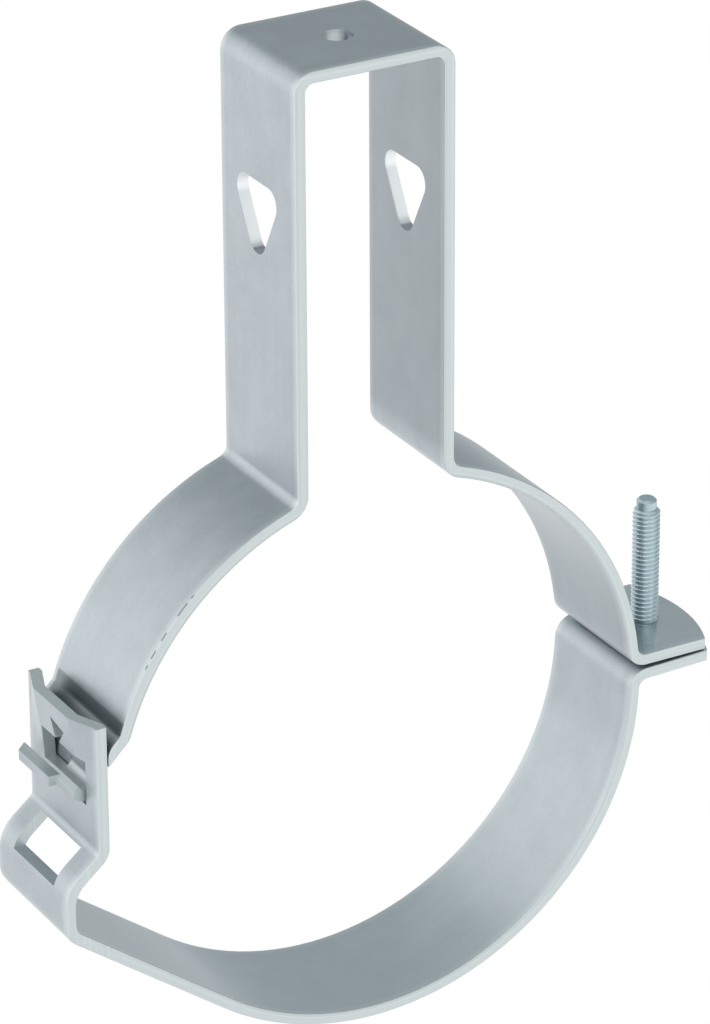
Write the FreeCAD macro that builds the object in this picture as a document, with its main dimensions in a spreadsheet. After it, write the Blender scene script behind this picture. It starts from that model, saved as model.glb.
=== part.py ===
"""Two-part pipe bracket of galvanised flat steel, for a round pipe hung from or stood off a square rail.

Lengths are in millimetres. The origin is the centre of the pipe seat. +X points to the flanges
and their screw, +Y along the pipe, to the back, and +Z up, to the yoke that sits over the rail.
"""
import FreeCAD, Part
import Sketcher
import math
import os

V = FreeCAD.Vector
NODES = ("upper_half", "lower_half", "clamp_screw")

doc = FreeCAD.newDocument("pipe_bracket")

# Driving dimensions: alias, value, meaning
SIZES = (
    ("strip_width", 30.0, "width of the flat strip, along the pipe"),
    ("strip_thick", 2.5, "thickness of the flat strip"),
    ("strip_round", 0.3, "rounding of the strip's long edges"),
    ("seat_radius", 60.0, "radius of the pipe that the closed bracket holds"),
    ("rail_gap", 31.0, "clear width between the two legs, for a 30 mm rail"),
    ("rail_shift", -0.9, "offset of the yoke from the pipe's centre, towards the latch"),
    ("rail_rise", 88.3, "distance from the pipe's top to the underside of the top plate"),
    ("yoke_bend", 2.0, "inner radius of the two top bends"),
    ("leg_bend", 2.5, "inner radius where a leg turns into the pipe arc"),
    ("top_hole_dia", 6.4, "fixing hole in the top plate"),
    ("wedge_width", 20.4, "width of a wedge hole's top edge between its unrounded corners"),
    ("wedge_height", 19.1, "height of a wedge hole between its unrounded corners"),
    ("wedge_round", 3.3, "corner radius of a wedge hole"),
    ("wedge_fall", 24.5, "distance from the rail's top down to the wedge hole in the latch-side leg"),
    ("wedge_drop", 2.0, "how much lower the hole in the flange-side leg is"),
    ("wedge_shift", 0.5, "offset of the wedge holes towards the back"),
    ("flange_past", 9.0, "reach of the upper flange's tip past the screw's axis"),
    ("flange_extra", 0.6, "how much further the lower flange reaches"),
    ("flange_round", 35.0, "radius of the rounded flange ends"),
    ("flange_trim", 2.0, "length that is trimmed off a flange to round its end"),
    ("flange_level", 3.05, "height of the underside of the upper flange"),
    ("flange_bend", 2.0, "inner radius of the flange bends"),
    ("flange_gap", 0.35, "gap between the flanges at their tips"),
    ("flange_tilt", 1.6, "rise of the lower flange towards its tip, in degrees"),
    ("flange_slot", 4.9, "lengthening of the lower flange's hole towards its tip, for the swing"),
    ("screw_out", 13.0, "distance of the screw's axis from the pipe's surface"),
    ("screw_dia", 5.9, "outer diameter of the M6 screw"),
    ("screw_clear", 0.07, "radial clearance of the screw in the upper flange"),
    ("screw_pass", 0.35, "side clearance of the screw in the lower flange"),
    ("screw_length", 33.9, "length of the screw under its head"),
    ("screw_travel", 25.5, "way that the screw can be backed out while its thread is in mesh"),
    ("dog_dia", 4.3, "diameter of the screw's dog point"),
    ("dog_length", 2.3, "length of the dog point"),
    ("head_flats", 10.0, "width across the flats of the screw head"),
    ("head_height", 4.0, "height of the screw head"),
    ("head_gap", 0.15, "gap between the head and the lower flange"),
    ("tip_chamfer", 0.5, "chamfers of the screw's thread end, point and head"),
    ("tail_angle", 17.9, "angle above the level at which the hook tail leaves the arc, in degrees"),
    ("tail_slope", 45.0, "slope of the hook tail, in degrees"),
    ("tail_bend", 1.75, "inner radius of the tail's two bends"),
    ("neck_out", 2.35, "distance of the neck's outer face from the pipe's surface"),
    ("neck_front", 9.2, "half of the neck in front of the strip's middle"),
    ("neck_foot", 3.0, "height of the neck's lower edge beside the hook"),
    ("neck_slit", 0.4, "width of the slit between the hook and the rest of the neck"),
    ("hook_back", 1.5, "reach of the hook behind the strip's middle"),
    ("hook_level", 7.8, "height of the hook bend's centre"),
    ("hook_gap", 4.2, "clear width inside the hook"),
    ("hook_turn", 150.0, "angle through which the hook is bent, in degrees"),
    ("arm_level", 4.3, "height of the underside of the hook's arm"),
    ("arm_height", 2.2, "height of the hook's arm"),
    ("arm_root", 2.0, "reach of the arm in front of the strip's middle"),
    ("arm_gap", 1.85, "gap between the latch plate and the arm"),
    ("arm_back", 13.6, "reach of the arm behind the strip's middle"),
    ("arm_chamfer", 2.2, "chamfer of the arm's end"),
    ("plate_gap", 0.2, "gap between the neck and the latch plate"),
    ("plate_top", 21.8, "height of the latch plate's top edge"),
    ("channel_foot", 5.0, "height at which the latch plate's channel starts"),
    ("channel_depth", 2.5, "depth of the channel at the plate's top edge"),
    ("channel_floor", 15.2, "width of the channel's flat floor, on its outer face"),
    ("channel_rim", 1.1, "width of the flat rim between a flank of the channel and the strip's edge"),
    ("channel_shift", 0.4, "how much narrower each half of the floor is on its inner face"),
    ("knee_level", -5.4, "height at which the latch plate starts to bend outwards"),
    ("knee_slope", 40.0, "slope of the strip under the latch plate, in degrees"),
    ("knee_bend", 2.0, "inner radius of the bend under the latch plate"),
    ("bulge_out", 7.9, "distance from the latch plate's outer face to the bulge's"),
    ("bulge_bend", 6.5, "inner radius of the bulge's upper bend"),
    ("run_bend", 3.0, "inner radius of the bulge's lower bend"),
    ("run_slope", 36.5, "slope of the straight run to the arc, in degrees"),
    ("window_width", 18.0, "width of the window in the bulge"),
    ("window_top", -7.2, "height of the window's top edge"),
    ("window_foot", -14.2, "height of the window's lower edge"),
    ("slot_front", 9.9, "reach of the latch slot's lower edge in front of the strip's middle"),
    ("slot_back", 8.2, "reach of the latch slot's lower edge behind the strip's middle"),
    ("slot_front_top", 11.0, "reach of the latch slot's upper edge in front of the strip's middle"),
    ("slot_back_top", 6.8, "reach of the latch slot behind the strip's middle at the tooth"),
    ("slot_foot", 2.6, "height of the slot's lower edge under the hook"),
    ("slot_step", 5.2, "height of the slot's lower edge beside the hook"),
    ("slot_step_back", 2.2, "reach of the deeper part of the slot behind the strip's middle"),
    ("slot_top", 13.0, "height of the slot's upper edge over the neck"),
    ("tooth_level", 13.4, "height of the underside of the tooth in the slot"),
    ("tooth_tip", 0.6, "distance of the tooth's tip from the strip's middle"),
    ("notch_back", 1.4, "distance of the notch's peak from the strip's middle"),
    ("notch_level", 18.1, "height of the notch's peak"),
    ("notch_front", 4.2, "distance of the notch's front corner in front of the strip's middle"),
    ("notch_foot", 16.8, "height of the notch's front corner"),
    ("notch_root", 0.9, "distance in front of the strip's middle at which the notch meets the slot"),
    ("pivot_level", 14.0, "height of the axis about which the lower half rocks on the hook tail"),
    ("swing", 9.9, "swing of the lower half over the screw's travel, in degrees"),
)

# Distances that follow from others
FOLLOWS = {
    "rail_seat_level": "sizes.seat_radius + sizes.rail_rise",
    "wedge_level": "sizes.rail_seat_level - sizes.wedge_fall",
    "screw_offset": "sizes.seat_radius + sizes.screw_out",
    "flange_reach": "sizes.screw_offset + sizes.flange_past",
    "channel_wall": "sizes.strip_width / 2 - sizes.channel_rim - sizes.channel_floor / 2",
    "neck_reach": "sizes.seat_radius + sizes.neck_out",
    "plate_reach": "sizes.neck_reach + sizes.plate_gap + sizes.strip_thick",
    "arm_reach": "sizes.plate_reach + sizes.arm_gap",
    "bulge_reach": "sizes.plate_reach + sizes.bulge_out",
}

sheet = doc.addObject("Spreadsheet::Sheet", "sizes")
for row, (alias, value, meaning) in enumerate(SIZES, start=1):
    sheet.set(f"A{row}", meaning)
    sheet.set(f"B{row}", str(value))
    sheet.setAlias(f"B{row}", alias)
doc.recompute()


def expand(expression):
    """An expression with every distance that follows from others written out."""
    for name in reversed(FOLLOWS):
        expression = expression.replace(f"sizes.{name}", f"({FOLLOWS[name]})")
    return expression


def evaluate(expression):
    """The number that an expression on the sheet gives now."""
    return float(sheet.evalExpression(expand(expression).replace("sizes.", "")))


def size(name):
    """The value of a named size, or of a distance that follows from others."""
    return evaluate(f"sizes.{name}")


def origin_plane(body, role):
    """One of the body's own origin planes, such as XZ_Plane."""
    return next(f for f in body.Origin.OriginFeatures if f.Role == role)


def new_sketch(body, name, role, offset=None):
    """A sketch on an origin plane of its body, moved along the plane's normal by an expression."""
    sketch = body.newObject("Sketcher::SketchObject", name)
    sketch.AttachmentSupport = [(origin_plane(body, role), "")]
    sketch.MapMode = "FlatFace"
    if offset:
        sketch.setExpression("AttachmentOffset.Base.z", expand(offset))
        doc.recompute()
    return sketch


def dimension(sketch, name, expression, *constraint):
    """Add a dimension to a sketch and bind it to the sheet."""
    index = sketch.addConstraint(Sketcher.Constraint(*constraint))
    sketch.renameConstraint(index, name)
    sketch.setExpression(f"Constraints.{name}", expand(expression))


def cut_through(body, sketch, name, both_ways=False, reverse=False):
    """A pocket through the whole body, and a check that it removed something."""
    before = body.Shape.Volume
    pocket = body.newObject("PartDesign::Pocket", name)
    pocket.Profile = sketch
    pocket.Type = "ThroughAll"
    pocket.Reversed = reverse
    if both_ways:
        pocket.SideType = "Symmetric"
    doc.recompute()
    if not pocket.Shape.Volume < before - 0.1:
        raise RuntimeError(f"{name} cuts nothing")
    return pocket


class Spine:
    """The middle line of a bent strip: straight runs and arcs, each tangent to the one before."""

    def __init__(self, sketch, start):
        self.sketch = sketch
        self.here = start
        self.open_end = None

    def join(self, index, near, far):
        if self.open_end:
            self.sketch.addConstraint(Sketcher.Constraint("Tangent", *self.open_end, index, near))
        self.open_end = (index, far)

    def run(self, end):
        """A straight run to a point."""
        line = Part.LineSegment(V(*self.here, 0), V(*end, 0))
        index = self.sketch.addGeometry(line, False)
        self.join(index, 1, 2)
        self.here = end
        return index

    def bend(self, centre, end, left):
        """An arc to a point about a centre, turning left (anticlockwise) or right."""
        radius = math.dist(centre, self.here)
        angles = [math.atan2(p[1] - centre[1], p[0] - centre[0]) for p in (self.here, end)]
        circle = Part.Circle(V(*centre, 0), V(0, 0, 1), radius)
        first, last = angles if left else reversed(angles)
        arc = Part.ArcOfCircle(circle, first, last)
        index = self.sketch.addGeometry(arc, False)
        self.join(index, *((1, 2) if left else (2, 1)))
        self.here = end
        return index


def fix_ring(sketch, index, name):
    """Hold an arc's centre on the pipe's axis and its radius to the seat."""
    sketch.addConstraint(Sketcher.Constraint("Coincident", index, 3, -1, 1))
    dimension(sketch, name, "sizes.seat_radius + sizes.strip_thick / 2", "Radius", index, ring_radius)


def sweep(body, spine_sketch, profile_sketch, name):
    """The strip itself: its section along its middle line."""
    strip = body.newObject("PartDesign::AdditivePipe", name)
    strip.Profile = profile_sketch
    strip.Spine = (spine_sketch, [])
    strip.Transition = "Transformed"
    doc.recompute()
    return strip


def ease_edges(body, feature, name):
    """Round the strip's long edges; the short ones across its thickness stay sharp."""
    side = size("strip_width") / 2
    edges = []
    for number, edge in enumerate(feature.Shape.Edges, start=1):
        box = edge.BoundBox
        across = edge.Curve.TypeId == "Part::GeomLine" and abs(edge.Length - thick) < 0.01
        if box.YLength < 0.01 and abs(abs(box.YMin) - side) < 0.01 and not across:
            edges.append(f"Edge{number}")
    eased = body.newObject("PartDesign::Fillet", name)
    eased.Base = (feature, edges)
    eased.setExpression("Radius", "sizes.strip_round")
    doc.recompute()
    return eased


def outline(sketch, names, points):
    """A closed outline through dimensioned corners: each corner's two distances are expressions."""
    corners = [V(evaluate(across), evaluate(up), 0) for across, up in points]
    first = sketch.GeometryCount
    count = len(corners)
    for i in range(count):
        sketch.addGeometry(Part.LineSegment(corners[i], corners[(i + 1) % count]), False)
    for i in range(count):
        after = first + (i + 1) % count
        sketch.addConstraint(Sketcher.Constraint("Coincident", first + i, 2, after, 1))
    for i, (across, up) in enumerate(points):
        place(sketch, f"{names}_{i}", first + i, 1, across, up)


def place(sketch, name, index, point, across, up):
    """Hold a point of a sketch at two distances from the origin, given as expressions."""
    kinds = (("DistanceX", "across", across, -2), ("DistanceY", "up", up, -1))
    for kind, word, expression, axis in kinds:
        value = evaluate(expression)
        if value == 0:
            sketch.addConstraint(Sketcher.Constraint("PointOnObject", index, point, axis))
        elif value > 0:
            dimension(sketch, f"{name}_{word}", expression, kind, -1, 1, index, point, value)
        else:
            dimension(sketch, f"{name}_{word}", f"-({expression})", kind, index, point, -1, 1, -value)


def flange_end(body, name, tip):
    """Round the tip of a flange, seen from above."""
    reach = evaluate(tip)
    radius = size("flange_round")
    half = size("strip_width") / 2 + 2
    sketch = new_sketch(body, name + "_outline", "XY_Plane")
    centre = reach - radius
    meet = centre + math.sqrt(radius**2 - half**2)
    far = reach + 8
    spread = math.asin(half / radius)
    circle = Part.Circle(V(centre, 0, 0), V(0, 0, 1), radius)
    sketch.addGeometry(Part.ArcOfCircle(circle, -spread, spread), False)
    sketch.addGeometry(Part.LineSegment(V(meet, half, 0), V(far, half, 0)), False)
    sketch.addGeometry(Part.LineSegment(V(far, half, 0), V(far, -half, 0)), False)
    sketch.addGeometry(Part.LineSegment(V(far, -half, 0), V(meet, -half, 0)), False)
    for one, end, two, start in ((0, 2, 1, 1), (1, 2, 2, 1), (2, 2, 3, 1), (3, 2, 0, 1)):
        sketch.addConstraint(Sketcher.Constraint("Coincident", one, end, two, start))
    sketch.addConstraint(Sketcher.Constraint("Horizontal", 1))
    sketch.addConstraint(Sketcher.Constraint("Vertical", 2))
    sketch.addConstraint(Sketcher.Constraint("Horizontal", 3))
    sketch.addConstraint(Sketcher.Constraint("PointOnObject", 0, 3, -1))
    dimension(sketch, "radius", "sizes.flange_round", "Radius", 0, radius)
    dimension(sketch, "centre", tip + " - sizes.flange_round", "DistanceX", -1, 1, 0, 3, centre)
    dimension(sketch, "back", "sizes.strip_width / 2 + 2", "DistanceY", -1, 1, 0, 2, half)
    dimension(sketch, "front", "sizes.strip_width / 2 + 2", "DistanceY", 0, 1, -1, 1, half)
    dimension(sketch, "far", tip + " + 8", "DistanceX", -1, 1, 1, 2, far)
    return cut_through(body, sketch, name, both_ways=True)


# End of the lower flange's blank
BLANK_REACH = "sizes.flange_reach + sizes.flange_extra + sizes.flange_trim"
BLANK_LEVEL = (
    "sizes.flange_level - sizes.flange_gap - sizes.strip_thick / 2 / cos(sizes.flange_tilt * 1 deg)"
    " + (sizes.flange_extra + sizes.flange_trim) * tan(sizes.flange_tilt * 1 deg)"
)

# Lengths that follow from the driving dimensions
thick = size("strip_thick")
ring_radius = size("seat_radius") + thick / 2


def upper_spine(body):
    """Middle line of the upper half, from the flange's tip over the yoke to the end of the hook."""
    sketch = new_sketch(body, "upper_spine", "XZ_Plane")
    right = size("rail_shift") + size("rail_gap") / 2 + thick / 2
    left = size("rail_shift") - size("rail_gap") / 2 - thick / 2
    top = size("rail_seat_level") + thick / 2
    yoke = size("yoke_bend") + thick / 2
    leg = size("leg_bend") + thick / 2
    flange = size("flange_bend") + thick / 2
    tail = size("tail_bend") + thick / 2
    hook = size("hook_gap") / 2 + thick / 2
    level = size("flange_level") + thick / 2

    blank = size("flange_reach") + size("flange_trim")
    spine = Spine(sketch, (blank, level))
    flange_centre = (math.sqrt((ring_radius + flange) ** 2 - (level + flange) ** 2), level + flange)
    flange_run = spine.run((flange_centre[0], level))
    flange_arc = spine.bend(flange_centre, on_ring(flange_centre), left=False)
    right_centre = (right + leg, math.sqrt((ring_radius + leg) ** 2 - (right + leg) ** 2))
    right_ring = spine.bend((0, 0), on_ring(right_centre), left=True)
    right_foot = spine.bend(right_centre, (right, right_centre[1]), left=False)
    right_leg = spine.run((right, top - yoke))
    right_corner = spine.bend((right - yoke, top - yoke), (right - yoke, top), left=True)
    top_run = spine.run((left + yoke, top))
    left_corner = spine.bend((left + yoke, top - yoke), (left, top - yoke), left=True)
    left_centre = (left - leg, math.sqrt((ring_radius + leg) ** 2 - (left - leg) ** 2))
    left_leg = spine.run((left, left_centre[1]))
    left_foot = spine.bend(left_centre, on_ring(left_centre), left=False)

    angle = math.radians(size("tail_angle"))
    leave = (-ring_radius * math.cos(angle), ring_radius * math.sin(angle))
    left_ring = spine.bend((0, 0), leave, left=True)
    slope = math.radians(size("tail_slope"))
    outer = (leave[0] * (1 + tail / ring_radius), leave[1] * (1 + tail / ring_radius))
    slope_start = (outer[0] + tail * math.sin(slope), outer[1] - tail * math.cos(slope))
    tail_arc = spine.bend(outer, slope_start, left=False)
    neck = -(size("neck_reach") - thick / 2)
    drop = ((neck + tail - slope_start[0]) * math.sin(slope) - tail) / math.cos(slope)
    neck_centre = (neck + tail, slope_start[1] + drop)
    slope_end = (neck_centre[0] - tail * math.sin(slope), neck_centre[1] + tail * math.cos(slope))
    tail_run = spine.run(slope_end)
    neck_arc = spine.bend(neck_centre, (neck, neck_centre[1]), left=True)
    hook_centre = (neck - hook, size("hook_level"))
    neck_run = spine.run((neck, hook_centre[1]))
    turn = math.radians(size("hook_turn"))
    hook_end = (hook_centre[0] + hook * math.cos(turn), hook_centre[1] - hook * math.sin(turn))
    hook_arc = spine.bend(hook_centre, hook_end, left=False)

    for line in (flange_run, top_run):
        sketch.addConstraint(Sketcher.Constraint("Horizontal", line))
    for line in (right_leg, left_leg, neck_run):
        sketch.addConstraint(Sketcher.Constraint("Vertical", line))
    fix_ring(sketch, right_ring, "right_ring")
    fix_ring(sketch, left_ring, "left_ring")
    radii = {
        "flange_arc": (flange_arc, "sizes.flange_bend", flange),
        "right_foot": (right_foot, "sizes.leg_bend", leg),
        "left_foot": (left_foot, "sizes.leg_bend", leg),
        "right_corner": (right_corner, "sizes.yoke_bend", yoke),
        "left_corner": (left_corner, "sizes.yoke_bend", yoke),
        "tail_arc": (tail_arc, "sizes.tail_bend", tail),
        "neck_arc": (neck_arc, "sizes.tail_bend", tail),
        "hook_arc": (hook_arc, "sizes.hook_gap / 2", hook),
    }
    for name, (index, inner, radius) in radii.items():
        dimension(sketch, name, inner + " + sizes.strip_thick / 2", "Radius", index, radius)
    leg_side = "sizes.rail_gap / 2 + sizes.strip_thick / 2"
    trim = "sizes.flange_reach + sizes.flange_trim"
    dimension(sketch, "blank", trim, "DistanceX", -1, 1, flange_run, 1, blank)
    dimension(sketch, "level", "sizes.flange_level + sizes.strip_thick / 2", "DistanceY", -1, 1, flange_run, 1, level)
    dimension(sketch, "right", leg_side + " + sizes.rail_shift", "DistanceX", -1, 1, right_leg, 1, right)
    dimension(sketch, "left", leg_side + " - sizes.rail_shift", "DistanceX", left_leg, 1, -1, 1, -left)
    dimension(sketch, "top", "sizes.rail_seat_level + sizes.strip_thick / 2", "DistanceY", -1, 1, top_run, 1, top)
    tail_start = "(sizes.seat_radius + sizes.strip_thick / 2) * cos(sizes.tail_angle * 1 deg)"
    dimension(sketch, "tail_start", tail_start, "DistanceX", left_ring, 2, -1, 1, -leave[0])
    bend_left = math.pi / 2 - slope
    dimension(sketch, "neck_turn", "(90 - sizes.tail_slope) * 1 deg", "Angle", neck_arc, bend_left)
    dimension(sketch, "neck", "sizes.neck_reach - sizes.strip_thick / 2", "DistanceX", neck_run, 1, -1, 1, -neck)
    dimension(sketch, "hook_level", "sizes.hook_level", "DistanceY", -1, 1, neck_run, 2, hook_centre[1])
    dimension(sketch, "hook_turn", "sizes.hook_turn * 1 deg", "Angle", hook_arc, turn)
    return sketch


def on_ring(centre):
    """Where an arc about this centre, outside the ring, touches the ring's middle line."""
    scale = ring_radius / math.hypot(*centre)
    return (centre[0] * scale, centre[1] * scale)


def lower_spine(body):
    """Middle line of the lower half, from the foot of the channel round to the flange's tip."""
    sketch = new_sketch(body, "lower_spine", "XZ_Plane")
    plate = -(size("plate_reach") - thick / 2)
    bulge = -(size("bulge_reach") - thick / 2)
    knee = size("knee_bend") + thick / 2
    upper = size("bulge_bend") + thick / 2
    lower = size("run_bend") + thick / 2
    flange = size("flange_bend") + thick / 2
    knee_slope = math.radians(size("knee_slope"))
    run_slope = math.radians(size("run_slope"))
    tilt = math.radians(size("flange_tilt"))

    spine = Spine(sketch, (plate, size("channel_foot")))
    knee_start = (plate, size("knee_level"))
    plate_run = spine.run(knee_start)
    knee_centre = (plate - knee, knee_start[1])
    knee_end = (knee_centre[0] + knee * math.sin(knee_slope), knee_centre[1] - knee * math.cos(knee_slope))
    knee_arc = spine.bend(knee_centre, knee_end, left=False)
    slant = (knee_end[0] - bulge - upper + upper * math.sin(knee_slope)) / math.cos(knee_slope)
    bulge_start = (knee_end[0] - slant * math.cos(knee_slope), knee_end[1] - slant * math.sin(knee_slope))
    bulge_centre = (bulge + upper, bulge_start[1] - upper * math.cos(knee_slope))
    spine.run(bulge_start)
    bulge_arc = spine.bend(bulge_centre, (bulge, bulge_centre[1]), left=True)
    touch = (-ring_radius * math.sin(run_slope), -ring_radius * math.cos(run_slope))
    length = (touch[0] - bulge - lower + lower * math.sin(run_slope)) / math.cos(run_slope)
    run_start = (touch[0] - length * math.cos(run_slope), touch[1] + length * math.sin(run_slope))
    run_centre = (bulge + lower, run_start[1] + lower * math.cos(run_slope))
    bulge_run = spine.run((bulge, run_centre[1]))
    run_arc = spine.bend(run_centre, run_start, left=True)
    spine.run(touch)

    along = (math.cos(tilt), math.sin(tilt))
    below = (math.sin(tilt), -math.cos(tilt))
    beyond = size("flange_extra") + size("flange_trim")
    tip_level = size("flange_level") - size("flange_gap") - thick / 2 / along[0] + beyond * math.tan(tilt)
    tip = (size("flange_reach") + beyond, tip_level)
    start = (tip[0] + flange * below[0], tip[1] + flange * below[1])
    inward = start[0] * along[0] + start[1] * along[1]
    square = inward**2 - start[0] ** 2 - start[1] ** 2 + (ring_radius + flange) ** 2
    back = inward - math.sqrt(square)
    flange_centre = (start[0] - back * along[0], start[1] - back * along[1])
    ring = spine.bend((0, 0), on_ring(flange_centre), left=True)
    flange_foot = (flange_centre[0] - flange * below[0], flange_centre[1] - flange * below[1])
    flange_arc = spine.bend(flange_centre, flange_foot, left=False)
    flange_run = spine.run(tip)

    for line in (plate_run, bulge_run):
        sketch.addConstraint(Sketcher.Constraint("Vertical", line))
    fix_ring(sketch, ring, "ring")
    radii = {
        "knee_arc": (knee_arc, "sizes.knee_bend", knee),
        "bulge_arc": (bulge_arc, "sizes.bulge_bend", upper),
        "run_arc": (run_arc, "sizes.run_bend", lower),
        "flange_arc": (flange_arc, "sizes.flange_bend", flange),
    }
    for name, (index, inner, radius) in radii.items():
        dimension(sketch, name, inner + " + sizes.strip_thick / 2", "Radius", index, radius)
    place(sketch, "plate", plate_run, 1, "-sizes.plate_reach + sizes.strip_thick / 2", "sizes.channel_foot")
    place(sketch, "tip", flange_run, 2, BLANK_REACH, BLANK_LEVEL)
    knee_level = size("knee_level")
    dimension(sketch, "knee_level", "-sizes.knee_level", "DistanceY", plate_run, 2, -1, 1, -knee_level)
    outward = "sizes.bulge_reach - sizes.strip_thick / 2"
    dimension(sketch, "bulge", outward, "DistanceX", bulge_run, 1, -1, 1, -bulge)
    turns = (
        ("knee_turn", "(90 - sizes.knee_slope) * 1 deg", knee_arc, math.pi / 2 - knee_slope),
        ("run_turn", "(90 - sizes.run_slope) * 1 deg", run_arc, math.pi / 2 - run_slope),
        ("flange_tilt", "sizes.flange_tilt * 1 deg", flange_run, tilt),
    )
    for name, expression, index, value in turns:
        dimension(sketch, name, expression, "Angle", index, value)
    return sketch


def hole(body, name, radius, across):
    """A round hole down through the plates of a body."""
    sketch = new_sketch(body, name + "_outline", "XY_Plane")
    circle = Part.Circle(V(evaluate(across), 0, 0), V(0, 0, 1), evaluate(radius))
    sketch.addGeometry(circle, False)
    dimension(sketch, "radius", radius, "Radius", 0, evaluate(radius))
    place(sketch, "centre", 0, 3, across, "0")
    return cut_through(body, sketch, name, both_ways=True)


def window(body, name, points, reverse=False, offset=None):
    """An opening cut along X through one side of a body, from its (y, z) corners."""
    sketch = new_sketch(body, name + "_outline", "YZ_Plane", offset)
    outline(sketch, "corner", points)
    doc.recompute()
    return cut_through(body, sketch, name, reverse=reverse)


def edges_near(shape, points, reach=0.05):
    """Names of the edges whose middle lies near one of the points."""
    names = []
    for number, edge in enumerate(shape.Edges, start=1):
        if any((edge.CenterOfMass - V(*p)).Length < reach for p in points):
            names.append(f"Edge{number}")
    return names


def finish(body):
    """Check that every feature of a body is sound and that it is one solid."""
    doc.recompute()
    for feature in [body] + list(body.Group):
        if {"Invalid", "Error"} & set(feature.State):
            raise RuntimeError(f"{body.Label}: {feature.Name} is {feature.State}")
    shape = body.Shape
    if shape.isNull() or not shape.isValid() or len(shape.Solids) != 1:
        raise RuntimeError(f"{body.Label} is not one valid solid")
    print(body.Label, round(shape.Volume, 1), "mm3", shape.BoundBox)


# Upper half: flange, arc, yoke, arc and hook, bent from one strip

upper = doc.addObject("PartDesign::Body", "upper_half")
upper.Label = "upper_half"
upper.Placement = FreeCAD.Placement()
spine = upper_spine(upper)
section = new_sketch(upper, "upper_section", "YZ_Plane", "sizes.flange_reach + sizes.flange_trim")
EDGE = "sizes.strip_width / 2"
outline(section, "corner", (
    ("-" + EDGE, "sizes.flange_level"),
    (EDGE, "sizes.flange_level"),
    (EDGE, "sizes.flange_level + sizes.strip_thick"),
    ("-" + EDGE, "sizes.flange_level + sizes.strip_thick"),
))
ease_edges(upper, sweep(upper, spine, section, "upper_strip"), "upper_edges")

hole(upper, "top_hole", "sizes.top_hole_dia / 2", "sizes.rail_shift")
hole(upper, "screw_hole", "sizes.screw_dia / 2 + sizes.screw_clear", "sizes.screw_offset")
flange_end(upper, "upper_flange_end", "sizes.flange_reach")

# Wedge holes in both legs: level top edge, point down, all three corners rounded
for side, top in (("left", "sizes.wedge_level"), ("right", "sizes.wedge_level - sizes.wedge_drop")):
    corners = (
        ("sizes.wedge_shift - sizes.wedge_width / 2", top),
        ("sizes.wedge_shift", top + " - sizes.wedge_height"),
        ("sizes.wedge_shift + sizes.wedge_width / 2", top),
    )
    cut = window(upper, side + "_wedge", corners, reverse=side == "right", offset="sizes.rail_shift")
    leg = size("rail_gap") / 2 + thick / 2
    middle = size("rail_shift") + (leg if side == "right" else -leg)
    spots = [(middle, evaluate(across), evaluate(up)) for across, up in corners]
    rounded = upper.newObject("PartDesign::Fillet", side + "_wedge_corners")
    rounded.Base = (cut, edges_near(cut.Shape, spots))
    rounded.setExpression("Radius", "sizes.wedge_round")
    doc.recompute()

# Hook: in front, the tail ends where it meets the latch plate. Its middle bends on through the
# slot in a U, and its back part runs straight down behind the plate.
SPARE = "(sizes.strip_width / 2 + 2)"
BEHIND = "(sizes.neck_reach - sizes.strip_thick - 1)"
SLOPE = "tan(sizes.tail_slope * 1 deg)"
LOWER_LINE = (
    "((sizes.seat_radius + sizes.strip_thick / 2) * sin(sizes.tail_angle * 1 deg)"
    f" + (sizes.seat_radius + sizes.strip_thick / 2) * cos(sizes.tail_angle * 1 deg) * {SLOPE}"
    " - sizes.strip_thick / 2 / cos(sizes.tail_slope * 1 deg) - 0.25)"
)
tail = new_sketch(upper, "tail_front_outline", "XZ_Plane", "sizes.neck_front")
outline(tail, "corner", (
    ("-" + BEHIND, f"{LOWER_LINE} - {BEHIND} * {SLOPE}"),
    ("-(sizes.neck_reach + 1)", f"{LOWER_LINE} - (sizes.neck_reach + 1) * {SLOPE}"),
    ("-(sizes.neck_reach + 12)", f"{LOWER_LINE} - (sizes.neck_reach + 1) * {SLOPE}"),
    ("-(sizes.neck_reach + 12)", "-2"),
    ("-" + BEHIND, "-2"),
))
doc.recompute()
cut_through(upper, tail, "tail_front", reverse=True)
window(upper, "neck_back_edge", (
    ("sizes.hook_back", "-2"),
    (SPARE, "-2"),
    (SPARE, "sizes.hook_level"),
    ("sizes.hook_back", "sizes.hook_level"),
), offset="-" + BEHIND)
flap_sketch = new_sketch(upper, "neck_flap_outline", "YZ_Plane", "-sizes.neck_reach")
outline(flap_sketch, "corner", (
    ("sizes.hook_back + sizes.neck_slit", "sizes.neck_foot"),
    (EDGE, "sizes.neck_foot"),
    (EDGE, "sizes.hook_level"),
    ("sizes.hook_back + sizes.neck_slit", "sizes.hook_level"),
))
flap = upper.newObject("PartDesign::Pad", "neck_flap")
flap.Profile = flap_sketch
flap.setExpression("Length", "sizes.strip_thick")
doc.recompute()

arm_sketch = new_sketch(upper, "arm_outline", "XY_Plane", "sizes.arm_level")
ARM_OUTER = "-(sizes.arm_reach + sizes.strip_thick)"
outline(arm_sketch, "corner", (
    ("-sizes.arm_reach", "-sizes.arm_root"),
    ("-sizes.arm_reach", "sizes.arm_back"),
    (ARM_OUTER + " + sizes.arm_chamfer", "sizes.arm_back"),
    (ARM_OUTER, "sizes.arm_back - sizes.arm_chamfer"),
    (ARM_OUTER, "-sizes.arm_root"),
))
arm = upper.newObject("PartDesign::Pad", "arm")
arm.Profile = arm_sketch
arm.setExpression("Length", "sizes.arm_height")
finish(upper)

# Lower half: latch plate, bulge, straight run, arc and flange, bent from one strip

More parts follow.
